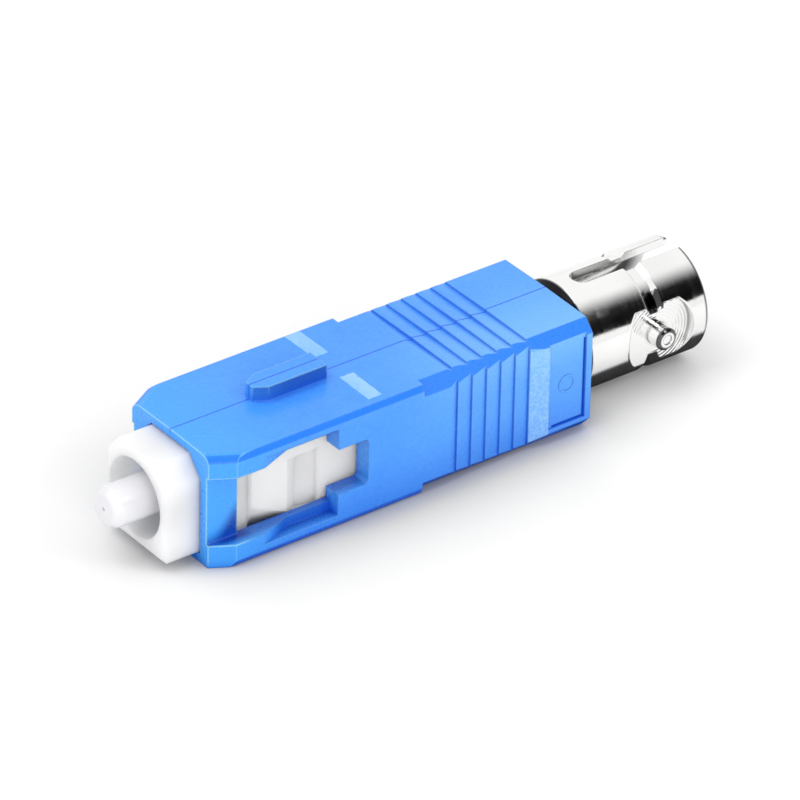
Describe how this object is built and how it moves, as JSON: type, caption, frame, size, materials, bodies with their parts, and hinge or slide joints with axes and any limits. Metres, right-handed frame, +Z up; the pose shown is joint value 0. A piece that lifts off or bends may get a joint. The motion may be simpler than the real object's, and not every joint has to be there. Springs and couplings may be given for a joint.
{
  "type": "male to female fibre adapter",
  "caption": "Blue fibre adapter: square push-pull plug with a sprung ceramic ferrule at one end, metal bayonet port with slot and lugs at the other.",
  "frame": {"origin": "on the optical axis, at the front face of the grip housing", "axes": "+X along the optical axis towards the bayonet port, +Z up through the key, +Y to the side"},
  "size_m": [0.0402, 0.009, 0.0083],
  "materials": {
    "blue_housing": "moulded, satin",
    "white_frame": "moulded, satin",
    "ceramic": "polished zirconia",
    "turned_metal": "turned, plated",
    "spring_steel": "drawn wire",
    "plated_barrel": "bright nickel plate",
    "fibre": "cleaved and polished"
  },
  "bodies": {
    "housing": {"grip_housing": "blue_housing", "bayonet_barrel": "plated_barrel", "lock_nut": "turned_metal", "sleeve_insert": "turned_metal", "sleeve_stop_ring": "turned_metal", "split_sleeve": "ceramic"},
    "plug": {"plug_frame": "white_frame", "spring_stop": "turned_metal", "ferrule_spring": "spring_steel"},
    "ferrule": {"front_ferrule": "ceramic", "rear_ferrule": "ceramic", "ferrule_holder": "turned_metal", "optical_fibre": "fibre"}
  },
  "joints": [
    {"name": "plug_slide", "type": "slide", "parent": "housing", "child": "plug", "axis": [-1, 0, 0], "range_m": [0, 0.00115]},
    {"name": "ferrule_slide", "type": "slide", "parent": "plug", "child": "ferrule", "axis": [1, 0, 0], "range_m": [0, 0.001], "stiffness_N_per_m": 600, "deforming": ["ferrule_spring"]}
  ]
}
